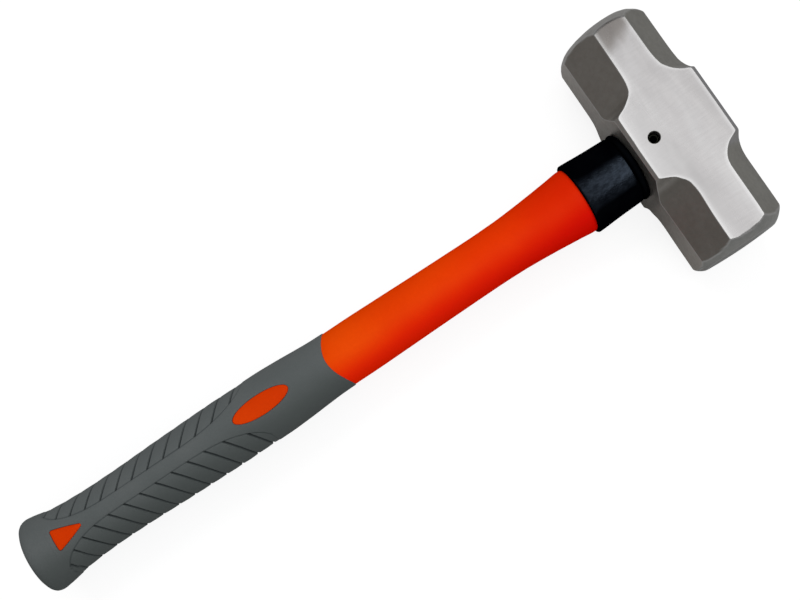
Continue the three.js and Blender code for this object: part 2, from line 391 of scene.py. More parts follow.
def orange():
    """Nearly matt orange, redder towards the head, with painted shade as deeper red low on one side and as a
    darker tone in the grip's windows.
    """
    p = Paint("plastic_orange")
    x, y, _ = p.axes()
    mottle = p.noise(30, 3, 0.5)
    near_head = p.ramp(mottle, (0.35, "e92400"), (0.65, "ef2c00"))
    near_grip = p.ramp(mottle, (0.35, "ed4500"), (0.65, "f24d02"))
    # Painted shade: a darker orange for the pads recessed in the grip's windows.
    shaded_in_windows = p.ramp(mottle, (0.35, "d43700"), (0.65, "db3e02"))
    along = p.range(x, *HEAD_TO_GRIP, 1.0, 0.0)
    tone = p.mix(along, near_head, near_grip)
    tone = p.mix(p.range(x, -0.105, -0.055, 0.0, 0.26), tone, "b41a00")
    # Painted shade: a deeper red on the low (-Y) side.
    deep = p.mix(along, "dc0900", "ee2300")
    shade_side = p.maths("ADD", y, p.maths("MULTIPLY", mottle, 0.004))
    tone = p.mix(p.range(shade_side, -0.010, 0.003, 1.0, 0.0, smooth=True), tone, deep)
    tone = p.mix(p.range(x, *GRIP_TIP, 1.0, 0.0), tone, shaded_in_windows)
    p.colour(p.mix(p.range(p.noise(700, 3), 0.3, 0.7, 0.0, 0.08), tone, "c42800"))
    p.roughness(p.range(p.noise(160, 4), 0.3, 0.7, 0.40, 0.50))
    p.sheen(0.04, 0.5)
    p.bump(p.noise(1300, 3, 0.6), 0.08, 0.0002)
    return p.mat


def black_plastic(name, low, high, rough, gloss):
    """Black with a soft gloss, for the cap and the rubber washer."""
    p = Paint(name)
    p.colour(p.ramp(p.noise(120, 4), (0.35, low), (0.7, high)))
    p.roughness(p.range(p.noise(240, 5, 0.65), 0.3, 0.7, *rough))
    p.sheen(gloss)
    p.set(Specular_Tint=COOL_GLOSS)
    p.bump(p.noise(330, 5, 0.65), 0.12, 0.0003)
    return p.mat


def collar_plastic():
    """Glossy black with a scuffed, patchy shine that is stronger towards the head."""
    p = Paint("plastic_black")
    x, _, _ = p.axes()
    p.colour(p.ramp(p.noise(120, 4), (0.35, "010103"), (0.7, "030406")))
    p.roughness(p.range(p.noise(240, 5, 0.65), 0.3, 0.7, 0.12, 0.26))
    scratches = p.noise(620, 4, 0.65, p.mapped((0.5, 1.0, 1.0), (0, 0, 0.3)))
    scuffs = p.range(scratches, 0.38, 0.62, 0.55, 1.2)
    p.sheen(0.36, 0.15, p.maths("MULTIPLY", scuffs, p.range(x, -0.050, -0.029, 0.6, 1.3)))
    p.set(Specular_Tint=COOL_GLOSS)
    p.bump(p.noise(330, 5, 0.65), 0.6, 0.0003)
    return p.mat


def rubber_grey():
    """Matt grey, with painted shade low on one side and painted shade in the grooves."""
    p = Paint("rubber_grey")
    _, y, _ = p.axes()
    cloud = p.noise(45, 4, 0.5)
    tone = p.ramp(cloud, (0.32, "5b6060"), (0.68, "616565"))
    # Painted shade: darker low on the -Y side.
    shade_side = p.maths("ADD", y, p.maths("MULTIPLY", cloud, 0.003))
    tone = p.mix(p.range(shade_side, -0.0105, 0.0055, 0.9, 0.0, smooth=True), tone, "4a4f4e")
    tone = p.mix(p.range(p.noise(1500, 3, 0.6), 0.35, 0.75, 0.0, 0.22), tone, "494d4c")
    # Painted shade in the grooves and the fine lines round the tread panels.
    tone = p.mix(p.attribute("groove"), tone, "23292b")
    p.colour(tone)
    p.roughness(p.range(p.noise(260, 4), 0.3, 0.7, 0.62, 0.74))
    p.set(Specular_IOR_Level=0.14)
    p.bump(p.noise(2200, 3, 0.6), 0.22, 0.00015)
    return p.mat


def fibreglass():
    """Straw-coloured rod with fine strands along it."""
    p = Paint("fibreglass_rod")
    strands = p.noise(900, 3, 0.6, p.mapped((0.03, 1, 1)))
    p.colour(p.ramp(strands, (0.3, "a89a68"), (0.7, "cfc391")))
    p.roughness(p.range(strands, 0.3, 0.7, 0.35, 0.5))
    p.bump(strands, 0.3, 0.0002)
    return p.mat


def resin():
    """Dark set resin."""
    p = Paint("resin_dark")
    p.colour(p.ramp(p.noise(200, 4), (0.3, "1a1612"), (0.7, "2b241d")))
    p.roughness(p.range(p.noise(400, 4), 0.3, 0.7, 0.2, 0.4))
    p.bump(p.noise(500, 3), 0.2, 0.0002)
    return p.mat


def floor_paint():
    """Pale paint. What the camera sees is lit up; what the hammer is lit by is a duller floor."""
    p = Paint("floor_pale")
    tone = p.ramp(p.noise(3, 3, 0.5), (0.3, "7b7b7b"), (0.7, "7f7f7f"))
    p.colour(tone)
    p.roughness(p.range(p.noise(40, 3), 0.3, 0.7, 0.85, 0.95))
    p.set(Specular_IOR_Level=0.1)
    p.set(Emission_Color=(1, 1, 1, 1), Emission_Strength=0.86)
    dull = p.tree.nodes.new("ShaderNodeBsdfDiffuse")
    p.link(p.ramp(p.noise(5, 3, 0.5), (0.3, "a0a0a0"), (0.7, "a4a4a4")), dull.inputs["Color"])
    ray = p.tree.nodes.new("ShaderNodeLightPath")
    blend = p.tree.nodes.new("ShaderNodeMixShader")
    p.link(ray.outputs["Is Camera Ray"], blend.inputs["Fac"])
    p.link(dull.outputs["BSDF"], blend.inputs[1])
    p.link(p.bsdf.outputs["BSDF"], blend.inputs[2])
    p.link(blend.outputs["Shader"], p.tree.nodes["Material Output"].inputs["Surface"])
    return p.mat


# ---- hammer head ----------------------------------------------------------------------------------

# Distance from the head's axis to its 45 degree corners, against distance from the middle of the head,
# as the photo's edges give it: the block's small chamfer, the scoop, then the facet. One table for each
# end, on the handle's side (lower) and on the top side (upper).
LOWER_CORNER = {
    1: [(0, 30.4), (16, 30.35), (17.4, 30.2), (18.2, 29.6), (20, 26.9), (22, 24.85), (24, 23.2),
        (26, 22.3), (28, 21.88), (30, 21.62), (32, 21.48), (34, 21.4), (38, 21.32), (44, 21.25),
        (60, 21.15), (64, 21.15)],
    -1: [(0, 30.5), (16.2, 30.45), (17, 29.6), (18, 28.05), (20, 25.6), (22, 24.4), (24, 23.3), (26, 22.72),
         (28, 22.5), (30, 22.36), (32, 22.3), (35, 22.38), (38, 22.5), (44, 22.7), (50, 22.78), (64, 22.85)],
}
UPPER_CORNER = {
    1: [(0, 31.1), (18.2, 31.05), (19.2, 30.2), (20, 29.0), (22, 27.0), (24, 25.6), (26, 24.6), (28, 23.77),
        (30, 23.43), (32, 23.2), (34, 23.05), (38, 22.92), (44, 22.9), (60, 22.85), (64, 22.85)],
    -1: [(0, 31.1), (16.8, 31.05), (17.5, 30.6), (18, 29.9), (20, 27.2), (22, 25.7), (24, 24.6), (26, 23.9),
         (28, 23.55), (30, 23.4), (34, 23.37), (40, 23.35), (50, 23.33), (56, 23.2), (64, 23.2)],
}
LOWER = {end: spline(table) for end, table in LOWER_CORNER.items()}
UPPER = {end: spline(table) for end, table in UPPER_CORNER.items()}
UNDER_REACH = {1: (1.2, 2.6), -1: (1.6, 0.0)}   # how much longer the block is underneath, lower and upper
BLOCK_TOP = TOP_X + 0.5                          # top of the block round the eye
END_TOP = {1: TOP_X + 0.15, -1: TOP_X - 0.05}    # top side of each end
TOP_STEP = {1: (20.5, 27.5), -1: (16.5, 24.0)}   # where the top side goes from one to the other
END_BOTTOM = {1: 0.3, -1: 0.6}                   # how much nearer the handle each end reaches
BOTTOM_STEP = (19.5, 27)                         # where the handle side goes from one to the other
SWELL_HEIGHT = 0.4                               # a slight swell on the handle side, beside the block
SWELL_PLACE = 24
SWELL_WIDTH = 3.5
END_CENTRE = {1: 0.6, -1: -0.8}      # how far the ground cones sit off the head's axis
END_TRIM = 0.45                      # how much shorter the +Y end is
FACE_RADIUS = {1: 18.3, -1: 18.0}
FACE_CROWN = {1: 0.45, -1: 0.6}      # how far each face is domed
ROUNDING = {1: (0.36, 0.09), -1: (0.25, 0.078)}   # how the ground end falls away outside its face
ROUNDING_START = 9.0                 # how far outside the face's radius it starts
ROUNDING_STOP = 0.8                  # and how far outside it stops, at the rim
RIM_RADIUS = 1.0                     # radius between that rounding and the face
RIM_STEPS = 5
NO_LIMIT = 200.0                     # a limiting radius that is well outside the head
LIMIT_SOFTNESS = 0.55                # how softly the long sides run into the ground ends
EDGE = 0.45                          # radius of the long edges
EDGE_STEPS = 4
SIDE_ROWS = ((0.25, 0.06), (0.9, 0.15), (1.9, 0.25), (3.5, 0.36))   # distance in from a corner, largest share
RIM_HIGHLIGHT = (1.0, 0.6, 0.1, 0.0, 0.0, 0.0, 0.1, 0.6, 1.0)           # painted highlight across a cheek, rim to rim
CREASE_WIDTH = 0.5                   # width of the painted highlight line where the sides meet the ground ends
FACE_LINE_WIDTH = 0.9                # and of the painted highlight line round each face
HEAD_SHARP = 28                      # angle in degrees over which the head's edges shade sharp
PIN_X = (PIN_LO[0] + PIN_HI[0]) / 2
PIN_Y = (PIN_LO[1] + PIN_HI[1]) / 2
PIN_HOLE = (PIN_HI[1] - PIN_LO[1]) / 2 + 0.2
PIN_CHAMFER = 0.2
PIN_POINTS = 48
EYE_WAIST = 14.0                     # the eye's half width at its narrowest
EYE_FLARE = 1.2                      # how much wider it gets towards its mouths
EYE_MOUTH = 4.6                      # and how much wider its cutter is outside them, for the chamfers
EYE_OVALITY = 0.76
EYE_POINTS = 72


def head_outline(reach):
    """An outline with eight sides at these distances and rounded corners, with two marks for each point that
    set painted highlights: on a long edge, and near a cheek's rim."""
    hubs = []
    for k in range(8):
        a, b = math.radians(45 * k), math.radians(45 * (k + 1))
        ha, hb = reach[k] - EDGE, reach[(k + 1) % 8] - EDGE
        s = math.sin(b - a)
        across = (hb * math.cos(a) - ha * math.cos(b)) / s
        hubs.append(np.array(((ha * math.sin(b) - hb * math.sin(a)) / s, across)))
    points = []
    marks = []
    for k in range(8):
        for step in range(EDGE_STEPS + 1):
            a = math.radians(45 * (k + step / EDGE_STEPS))
            points.append(hubs[k] + np.array((EDGE * math.cos(a), EDGE * math.sin(a))))
            marks.append((1.0, 0.0))
        a = math.radians(45 * (k + 1))
        out = np.array((EDGE * math.cos(a), EDGE * math.sin(a)))
        start = hubs[k] + out
        stop = hubs[(k + 1) % 8] + out
        length = np.linalg.norm(stop - start)
        near = [min(d, length * share) for d, share in SIDE_ROWS]
        along = near + [length / 2] + [length - d for d in reversed(near)]
        on_cheek = 1.0 if k + 1 in (2, 6) else 0.0
        for d, shade in zip(along, RIM_HIGHLIGHT):
            points.append(start + (stop - start) * d / length)
            marks.append((0.0, shade * on_cheek))
    return np.array(points), np.array(marks)


def head_ring(y, limit):
    """The head's section at y: a rounded eight-sided outline inside a circle of radius limit."""
    end = 1 if y > 0 else -1
    away = abs(y)
    longer_low, longer_high = UNDER_REACH[end]
    top = BLOCK_TOP + (END_TOP[end] - BLOCK_TOP) * float(smoothstep(*TOP_STEP[end], away))
    bottom = -BOTTOM_X + SWELL_HEIGHT * math.exp(-((away - SWELL_PLACE) / SWELL_WIDTH) ** 2)
    bottom += END_BOTTOM[end] * float(smoothstep(*BOTTOM_STEP, away))
    above = [UPPER[end](away), CHEEK, LOWER[end](away)]
    below = [LOWER[end](max(away - longer_low, 0)), CHEEK, UPPER[end](max(away - longer_high, 0))]
    points, marks = head_outline([top, *above, bottom, *below])
    centre = np.array((END_CENTRE[end], 0.0))
    flat = points - centre
    radius = np.hypot(flat[:, 0], flat[:, 1])
    free = np.clip(0.5 + 0.5 * (limit - radius) / LIMIT_SOFTNESS, 0, 1)
    limited = limit * (1 - free) + radius * free - LIMIT_SOFTNESS * free * (1 - free)
    flat = flat * (limited / radius)[:, None] + centre
    # Marks for painted highlights: a line where the long sides run into the ground ends, and one round each
    # face.
    crease_highlight = np.exp(-((limit - radius) / CREASE_WIDTH) ** 2)
    face_highlight = math.exp(-((limit - FACE_RADIUS[end]) / FACE_LINE_WIDTH) ** 2)
    marks[:, 0] = np.maximum(np.maximum(marks[:, 0] * free, crease_highlight), face_highlight)
    marks[:, 1] *= free
    ring = np.stack([flat[:, 0], np.full(len(flat), float(y)), flat[:, 1] + AXIS_Z], 1)
    return ring, marks


def end_path(radius, crown, rounding):
    """Pairs of distance along the head and limiting radius, from the long sides round to the face."""
    rim_y = FACE_Y - crown
    first, second = rounding
    path = []
    for outside in evenly(ROUNDING_START, ROUNDING_STOP, 30):
        path.append((rim_y - first * outside - second * outside ** 2, radius + outside))
    slope = first + 2 * second * ROUNDING_STOP
    turn = math.pi / 2 - math.atan2(1, slope)
    start_y, start_r = path[-1]
    for i in range(1, RIM_STEPS + 1):
        a = turn * (1 - i / RIM_STEPS)
        path.append((start_y + RIM_RADIUS * (math.cos(a) - math.cos(turn)),
                     start_r - RIM_RADIUS * (math.sin(turn) - math.sin(a))))
    edge_y, edge_r = path[-1]
    for t in (0.985, 0.93, 0.82, 0.65, 0.45, 0.25, 0.1):
        path.append((edge_y + (FACE_Y - edge_y) * (1 - t ** 2), edge_r * t))
    return path


def pin_cutter():
    """The cross pin's hole, with a chamfer at each cheek."""
    deep = CHEEK + 2
    mouth = PIN_HOLE + PIN_CHAMFER
    wall = [(-deep, mouth + 2), (-CHEEK, mouth), (-CHEEK + PIN_CHAMFER, PIN_HOLE),
            (CHEEK - PIN_CHAMFER, PIN_HOLE), (CHEEK, mouth), (deep, mouth + 2)]
    angle = np.arange(PIN_POINTS) * 2 * math.pi / PIN_POINTS
    rings = []
    for z, r in wall:
        x = PIN_X + r * np.cos(angle)
        y = PIN_Y + r * np.sin(angle)
        rings.append(np.stack([x, y, np.full(PIN_POINTS, z + AXIS_Z)], 1))
    return put("pin_cutter", *loft(rings), None)


def eye_cutter():
    """The eye through the head: narrow in the middle, flared and chamfered at its mouths."""
    middle = (TOP_X + BOTTOM_X) / 2
    half = (TOP_X - BOTTOM_X) / 2
    profile = [(BOTTOM_X - 3, EYE_WAIST + EYE_MOUTH)]
    for x in evenly(BOTTOM_X + 0.4, TOP_X - 0.5, 12):
        profile.append((x, EYE_WAIST + EYE_FLARE * ((x - middle) / half) ** 2))
    profile.append((TOP_X + 3.1, EYE_WAIST + EYE_MOUTH))
    return put("eye_cutter", *turned(profile, EYE_POINTS, EYE_OVALITY), None)


def hammer_head(material):
    """The forged head, lofted along Y from face to face, with its pin hole and eye cut out."""
    ends = {end: end_path(FACE_RADIUS[end], FACE_CROWN[end], ROUNDING[end]) for end in (1, -1)}
    first = min(path[0][0] for path in ends.values())
    body = evenly(0, 15, 4) + evenly(15.2, 36, 52) + evenly(37.5, first - 0.9, 8)
    body = [round(y, 3) for y in body]
    stations = [(-y, r) for y, r in reversed(ends[-1])]
    stations += [(-y, NO_LIMIT) for y in reversed(body[1:])] + [(y, NO_LIMIT) for y in body]
    stations += [(y - END_TRIM, r) for y, r in ends[1]]
    sections = [head_ring(y, r) for y, r in stations]
    points, faces = loft([ring for ring, _ in sections])
    obj = put("hammer_head_forged", points, faces, material, HEAD_SHARP, "head_steel", ("hammer_head",))
    marks = np.concatenate([marks for _, marks in sections] + [np.zeros((2, 2))])
    # Marks for the painted highlights along the edges and at the cheeks' rims.
    tag(obj, "edge", marks[:, 0])
    tag(obj, "rim", marks[:, 1])
    cut(obj, pin_cutter(), HEAD_SHARP)
    cut(obj, eye_cutter(), HEAD_SHARP)


# ---- small pieces in and beside the head ----------------------------------------------------------

PIN_WALL = 0.95
PIN_SLIT = 0.16         # half angle of the rolled pin's slit, in radians
PIN_SLIT_TURN = 2.4     # where the slit faces, in radians


def spring_pin(material):
    """A rolled pin: a split tube with chamfered ends."""
    outer = (PIN_HI[1] - PIN_LO[1]) / 2
    inner = outer - PIN_WALL
    low, high = PIN_LO[2], PIN_HI[2]
    section = [(high - 0.7, outer), (high - 0.15, outer - 0.35), (high, outer - 0.5), (high - 0.1, inner),
               (low + 0.1, inner), (low, outer - 0.5), (low + 0.15, outer - 0.35), (low + 0.7, outer)]
    angles = evenly(PIN_SLIT, 2 * math.pi - PIN_SLIT, 40)
    points = []
    for a in angles:
        turn = a + PIN_SLIT_TURN
        for z, r in section:
            points.append((PIN_X + r * math.cos(turn), PIN_Y + r * math.sin(turn), z))
    size = len(section)
    faces = []
    for i in range(len(angles) - 1):
        for j in range(size):
            k = (j + 1) % size
            faces.append((i * size + j, (i + 1) * size + j, (i + 1) * size + k, i * size + k))
    faces.append(tuple(range(size)))
    faces.append(tuple(reversed(range((len(angles) - 1) * size, len(angles) * size))))
    put("cross_pin_rolled", points, faces, material, 40, "pin_steel", ("cross_pin",))


def eye_cap(material):
    """Moulded cap that closes the eye: a raised rim, a shallow ring inside it and a flat middle."""
    half = (CAP_HI[1] - CAP_LO[1]) / 2
    ratio = (CAP_HI[2] - CAP_LO[2]) / 2 / half
    low, high = CAP_LO[0], CAP_HI[0]
    profile = [(low, half * 0.97), (low + 0.3, half - 0.05), (high - 0.7, half), (high - 0.25, half - 0.15),
               (high, half - 0.6), (high, half - 1.5), (high - 0.3, half - 1.9), (high - 0.9, half - 2.3),
               (high - 1.1, half - 3.2), (high - 1.1, half - 5.5), (high - 0.9, half - 6.0),
               (high - 0.75, half - 6.8), (high - 0.75, 3.0), (high - 0.7, 1.0)]
    points, faces = turned(profile, 96, ratio)
    put("eye_cap_moulded", points, faces, material, 40, "cap_black", ("eye_cap",))


def washer(material):
    """The rubber lip that seals the handle to the underside of the head."""
    low, high = WASHER_LO[0], WASHER_HI[0]
    half = (WASHER_HI[1] - WASHER_LO[1]) / 2
    inside = 12.4
    outline = [(low, inside), (low, half - 1.9), (low + 0.25, half - 1.2), (low + 0.8, half - 0.55),
               (low + 1.4, half - 0.12), (low + 2.0, half), (low + 2.6, half - 0.08),
               (high - 0.2, half - 0.4), (high, half - 0.9), (high, inside)]
    points, faces = loft([oval_ring(x, r, 120) for x, r in outline], loop=True)
    put("seal_washer_lip", points, faces, material, 40, "washer_black", ("seal_washer",))


def collar(material):
    """The overstrike collar: a thick sleeve, rounded at both ends, with a lip inside at the head."""
    low, high = COLLAR_LO[0], COLLAR_HI[0]
    inside = 16.6
    width = spline(COLLAR)
    outline = [(low + 0.3, inside), (low, inside + 0.4), (low, 18.0), (low + 0.12, 18.4), (low + 0.45, 18.66)]
    outline += [(x, float(width(x))) for x in evenly(low + 0.9, high - 0.7, 22)]
    outline += [(high - 0.4, 17.52), (high - 0.18, 17.34), (high - 0.05, 17.1), (high, 16.8), (high, 16.0)]
    outline += [(high - 0.4, 15.6), (high - 2.0, 15.6), (high - 2.4, 16.2), (high - 3.0, inside)]
    points, faces = loft([oval_ring(x, r, 144) for x, r in outline], loop=True)
    put("overstrike_collar_moulded", points, faces, material, 40, "collar_black",
        ("overstrike_collar",))


# ---- handle ---------------------------------------------------------------------------------------

# Distance along the handle and half width there, for the jacket, the grip, the grip's rounded butt and
# the collar. They follow the photo's edges, and are guessed where the jacket is hidden.
SHAFT = [(-366, 15.0), (-340, 12.8), (-300, 12.6), (-255, 13.6), (-215, 13.0), (-199, 14.1),
         (-190, 14.65), (-180, 14.68), (-160, 14.42), (-140, 14.07), (-122, 13.83), (-105, 13.68),
         (-92, 13.88), (-80, 14.56), (-70, 15.37), (-60, 16.33), (-52, 17.1), (-51.4, 16.1), (-30, 16.0)]
GRIP = [(-363.5, 19.4), (-360, 18.9), (-355, 17.95), (-350, 17.2), (-338, 16.3), (-326, 15.95), (-314, 16.0),
        (-302, 16.25), (-290, 16.6), (-278, 16.8), (-266, 17.0), (-254, 17.1), (-242, 16.95), (-230, 16.9),
        (-218, 16.4), (-206, 15.6), (-198, 15.15), (-190, 15.0)]
BUTT = [(-364.3, 19.5), (-365.5, 19.5), (-366.7, 19.3), (-367.8, 18.9), (-368.7, 18.15), (-369.4, 16.9),
        (-369.95, 15.0), (-370.3, 12.6), (-370.5, 9.8), (-370.65, 6.7), (-370.7, 3.4)]
COLLAR = [(-51, 18.78), (-48, 18.66), (-45, 18.47), (-42, 18.26), (-39, 18.1), (-36, 17.94), (-33, 17.84),
          (-30, 17.72), (-27, 17.62), (-25, 17.58)]
BUTT_SKEW = 0.065       # the butt's end is not quite square to the handle, across it
BUTT_TILT = 0.045       # nor from top to underside
LEAN_FADE = (-366, -350)   # the stretch over which that lean dies away
GRIP_START = -363.5     # the first row after the butt
TIP_REACH = 5.6         # how much further the grip's end reaches along its narrow sides
SINK = 0.25             # how far the grip's inner wall lies inside the jacket
PITCH = 9.25            # spacing of the tread grooves
FIRST_GROOVE = -305.5   # where one groove meets the middle band
GROOVES = range(-6, 7)  # the grooves, counted from that one
GROOVE_RISE = 0.88      # slope of a groove where it leaves the band
GROOVE_BEND = 0.0185    # and how that slope dies away across the grip
GROOVE_REACH = 22
GROOVE_DEPTH = 1.05
PANEL_ENDS = (-354.5, -236.5)   # of the two tread panels on each side
PANEL_DEPTH = 0.24
WAVE_DEPTH = 0.05       # the tread's ribs are slightly domed
LINE_DEPTH = 0.26       # a fine line runs round each tread panel
BAND_MIDDLE = 1.0       # the tread panels lie a little to one side
BAND_HALF = 3.9
BAND_FLARES = ((-318, -1, 36.5), (-282, 1, 45.5))   # start, direction and length of the band's flared ends
FLARE_WIDTH = 15.5
FLARE_POWER = 2.6
LIP_X = -354.6          # a short raised lip beside the triangular window
LIP_HEIGHT = 0.22
WINDOW_MIDDLE = 0.5
WINDOW_RECESS = 0.28    # how far the grip dips round its windows
WINDOW_CORNER = 1.0
WINDOW_BOW = 0.25       # how far the triangle's long sides bow out
BOW_START = -352
BOW_LENGTH = 15
OVAL = (-233.1, 15.8, 5.3)
OVAL_POINTS = 64
TRIANGLE = ((-352.9, -6.2), (-352.6, 6.2), (-335.3, 0.0))
TRIANGLE_PEAK = -347.2  # where the triangle's pad stands highest
PAD_GAP = 0.12          # between an orange pad and its window's wall
# Depth of a pad's edge, its rise, and the power and share of the steeper part of its dome.
PADS = {"oval": (0.30, 0.42, 6, 0.7), "triangle": (0.45, 0.75, 5, 0.8)}

shaft_width = spline(SHAFT)
grip_width = spline(GRIP)

# Arc length round a unit oval from its +Z point, for angles from 0 to 90 degrees.
_angle = np.linspace(0, math.pi / 2, 181)
_arc = np.concatenate([[0], np.cumsum(np.hypot(np.diff(np.sin(_angle)), OVALITY * np.diff(np.cos(_angle))))])
QUARTER = _arc[-1]


def arc_of(angle):
    """Signed arc length on a unit oval from the middle of the nearer broad side."""
    turn = (angle + math.pi) % (2 * math.pi) - math.pi
    folded = np.where(np.abs(turn) <= math.pi / 2, turn, np.sign(turn) * math.pi - turn)
    return np.sign(folded) * np.interp(np.abs(folded), _angle, _arc)


def angle_of(arc):
    """The angle at a signed arc length on a unit oval, on the upper side."""
    return np.sign(arc) * np.interp(np.abs(arc), _arc, _angle)


def on_grip(x, s, lift, upper):
    """Points above the grip's surface, from distance along it and across it."""
    x, s, lift = np.broadcast_arrays(np.asarray(x, float), np.asarray(s, float), np.asarray(lift, float))
    w = grip_width(x)
    a = angle_of(s / w)
    if not upper:
        a = math.pi - a
    r = w + lift
    return np.stack([x, r * np.sin(a), r * OVALITY * np.cos(a) + AXIS_Z], -1)


def past_band(s):
    """How far s lies outside the middle band, up to where the grooves stop bending."""
    return np.clip(np.abs(s - BAND_MIDDLE) - BAND_HALF, 0, GROOVE_REACH)


def groove_run(s):
    """How far a groove has moved towards the head at s across the grip."""
    out = past_band(s)
    return GROOVE_RISE * out - GROOVE_BEND * out ** 2


def panel_edge(x):
    """Half width of the smooth band between the tread panels."""
    half = BAND_HALF
    for start, direction, length in BAND_FLARES:
        along = np.clip(direction * (x - start) / length, 0, 1)
        half = half + FLARE_WIDTH * (1 - np.sqrt(np.clip(1 - along ** FLARE_POWER, 0, 1)))
    return half


def panel_distance(x, s):
    """Rough distance in from the edge of a tread panel, negative outside it."""
    inside = np.abs(s - BAND_MIDDLE) - panel_edge(x)
    step = 0.5
    slope = (panel_edge(x + step) - panel_edge(x - step)) / (2 * step)
    inside = inside / np.sqrt(1 + slope ** 2)
    return np.minimum(inside, np.minimum(x - PANEL_ENDS[0], PANEL_ENDS[1] - x))


def triangle_distance(x, s):
    """Distance in from the triangular window's edge."""
    distances = []
    for i in range(3):
        (ax, ay), (bx, by), (cx, cy) = TRIANGLE[i], TRIANGLE[(i + 1) % 3], TRIANGLE[(i + 2) % 3]
        nx, ny = by - ay, ax - bx
        size = math.hypot(nx, ny)
        sign = 1 if (cx - ax) * nx + (cy - ay) * ny > 0 else -1
        distances.append(sign * ((x - ax) * nx + (s - ay) * ny) / size)
    return np.minimum(np.minimum(distances[0], distances[1]), distances[2])


def oval_distance(x, s):
    """Rough distance in from the oval window's edge."""
    cx, a, b = OVAL
    q = np.sqrt(((x - cx) / a) ** 2 + (s / b) ** 2)
    grad = np.sqrt(((x - cx) / a ** 2) ** 2 + (s / b ** 2) ** 2) / np.maximum(q, 1e-6)
    return (1 - q) / np.maximum(grad, 1e-6)


def tread_relief(x, s):
    """Depth of the tread panels below the grip's smooth surface, and how much painted shade they get."""
    inside = panel_distance(x, s)
    panel = smoothstep(-0.15, 0.35, inside)
    out = past_band(s)
    slope = np.where(out > 0, GROOVE_RISE - 2 * GROOVE_BEND * out, 0)
    phase = (x - groove_run(s) - FIRST_GROOVE) / PITCH
    near = np.round(phase)
    offset = (phase - near) * PITCH / np.sqrt(1 + slope ** 2)
    valid = (near >= GROOVES[0]) & (near <= GROOVES[-1])
    groove = np.where(valid, 1 - smoothstep(0.18, 0.62, np.abs(offset)), 0)
    groove = groove * smoothstep(-0.1, 0.25, inside)
    line = 1 - smoothstep(0.05, 0.42, np.abs(inside))
    end_fade = smoothstep(-355.0, -354.0, x) * (1 - smoothstep(-237.5, -236.0, x))
    line = line * end_fade
    wave = np.where(valid, WAVE_DEPTH * np.cos(2 * math.pi * (phase - near)), 0) * panel
    depth = GROOVE_DEPTH * groove + LINE_DEPTH * line * (1 - groove) + PANEL_DEPTH * panel + wave
    return depth, np.maximum(groove * 0.9, line * 0.55)


def grip_relief(x, s):
    """Depth of all the moulded detail below the grip's smooth surface, and the painted shade in it."""
    depth, dark = tread_relief(x, s)
    across = s - WINDOW_MIDDLE
    rim = np.maximum(oval_distance(x, across), triangle_distance(x, across))
    depth = depth + WINDOW_RECESS * smoothstep(-0.8, 0.0, rim)
    lip = np.exp(-((x - LIP_X) / 0.55) ** 2) * (1 - smoothstep(4.4, 6.6, np.abs(across)))
    return depth - LIP_HEIGHT * lip, dark


def grip_rows(per_pitch):
    """Where the grip's rings cross its middle line, closest together over the tread."""
    tip = GRIP_HI[0] - TIP_REACH
    start = FIRST_GROOVE - 6.4 * PITCH
    stop = FIRST_GROOVE + 7.4 * PITCH
    rows = evenly(GRIP_START, start, 8)[:-1]
    rows += evenly(start, stop, int(round((stop - start) / PITCH * per_pitch)))
    rows += evenly(stop, tip - 1.2, 56)[1:]
    return rows + [tip - 0.8, tip - 0.5]


def grip_ring(x0, angles):
    """A ring of the grip that runs along the grooves over the tread, and along the curved end at the tip."""
    unit = arc_of(angles)
    s = unit * grip_width(np.full(len(angles), x0))
    to_tip = float(smoothstep(-252, -204, x0))
    from_butt = float(smoothstep(-365.0, -353.0, x0))
    curve = TIP_REACH * (1 - np.cos(np.clip(np.abs(unit) / QUARTER, 0, 1) * math.pi)) / 2
    x = x0 + from_butt * (1 - to_tip) * groove_run(s) + to_tip * curve
    width = grip_width(x)
    depth, dark = grip_relief(x, unit * width)
    r = width - depth
    return np.stack([x, r * np.sin(angles), r * OVALITY * np.cos(angles) + AXIS_Z], 1), dark


def tip_rings(last):
    """Rings that round the grip's end over from its last ring."""
    outward = last - np.array([0, 0, AXIS_Z])
    outward[:, 0] = 0
    outward = outward / np.linalg.norm(outward, axis=1, keepdims=True)
    rings = []
    for step, shrink in ((0.22, 0.10), (0.38, 0.28), (0.45, 0.6), (0.45, 1.1)):
        ring = last - outward * shrink
        ring[:, 0] += step
        rings.append(ring)
    return rings


def grip_sleeve(material):
    """The grip: its butt, its outside with the tread, its tip and the wall inside, with windows cut out."""
    across = 288
    angles = np.arange(across) * 2 * math.pi / across
    outside = [grip_ring(x0, angles) for x0 in grip_rows(25)]
    butt = [oval_ring(x, r, across) for x, r in reversed(BUTT)]
    closing = tip_rings(outside[-1][0])
    for x in (-200, -215, -250, -290, -330, -355, -364):
        closing.append(oval_ring(x, float(shaft_width(x)) - SINK, across))
    rings = butt + [ring for ring, _ in outside] + closing
    for ring in rings:
        lean = BUTT_SKEW * ring[:, 1] + BUTT_TILT * (ring[:, 2] - AXIS_Z)
        ring[:, 0] += lean * (1 - smoothstep(*LEAN_FADE, ring[:, 0]))
    points, faces = loft(rings)
    obj = put("grip_sleeve_moulded", points, faces, material, 50, "grip_grey", ("grip_sleeve",))
    dark = np.concatenate([dark for _, dark in outside])
    # The painted shade of the grooves, for the material to read.
    tag(obj, "groove", np.pad(dark, (len(butt) * across, len(closing) * across + 2)))
    for upper in (True, False):
        cut(obj, window_cutter("oval", upper), 50)
        cut(obj, window_cutter("triangle", upper), 50)


def oval_outline(inset):
    """Points round the oval window, seen square on."""
    cx, a, b = OVAL
    t = np.arange(OVAL_POINTS) * 2 * math.pi / OVAL_POINTS
    return np.stack([cx + (a - inset) * np.cos(t), (b - inset) * np.sin(t) + WINDOW_MIDDLE], 1)


